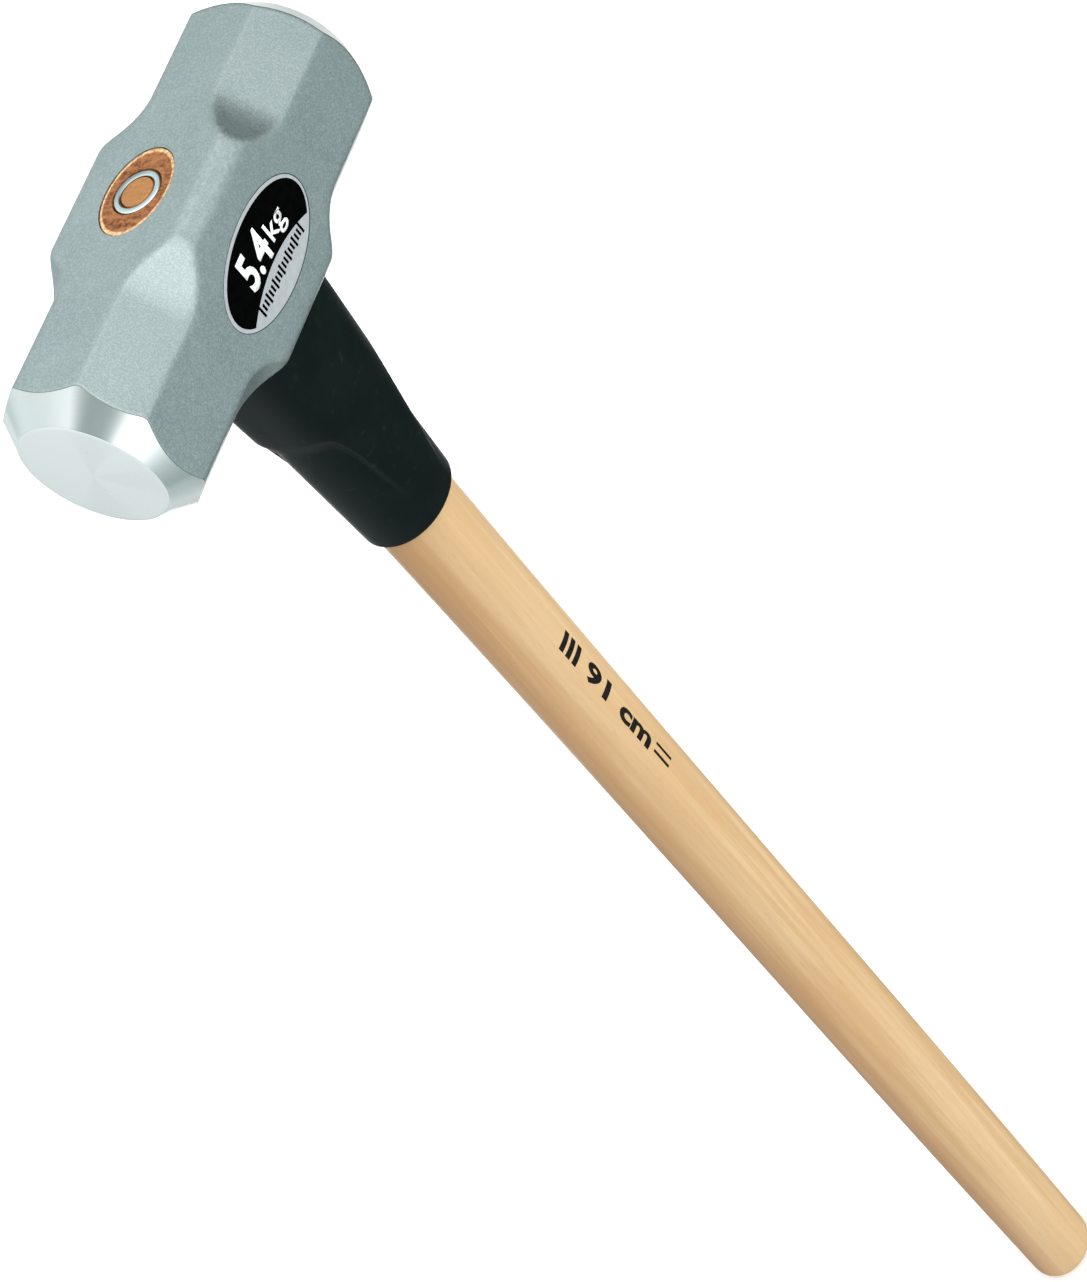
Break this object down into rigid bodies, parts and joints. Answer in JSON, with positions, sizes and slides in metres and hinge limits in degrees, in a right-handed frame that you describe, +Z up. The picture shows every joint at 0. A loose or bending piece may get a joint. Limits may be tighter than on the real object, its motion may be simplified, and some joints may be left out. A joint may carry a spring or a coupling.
{
  "type": "sledgehammer",
  "caption": "Double-faced sledgehammer: octagonal forged steel head with scooped corners, oval wooden handle, ring wedge and rubber overstrike sleeve.",
  "frame": {"origin": "centre of the handle's butt end, at the bottom of the bounding box", "axes": "+Z up along the handle to the head; X from striking face to striking face; -Y is the cheek that carries the label"},
  "size_m": [0.186, 0.0644, 0.9144],
  "materials": {
    "head_steel": "fine sandy grey-silver paint over forged steel, with bare turned steel on the bevels and striking faces",
    "handle_wood": "clear-lacquered pale hickory, stained end grain in the eye",
    "wedge_steel": "bare turned steel ring",
    "guard_rubber": "satin black moulded rubber",
    "label_vinyl": "glossy printed vinyl, black field with silver border"
  },
  "bodies": {
    "root": {"head": "head_steel", "handle": "handle_wood", "ring_wedge": "wedge_steel", "overstrike_guard": "guard_rubber", "weight_label": "label_vinyl"}
  },
  "joints": []
}
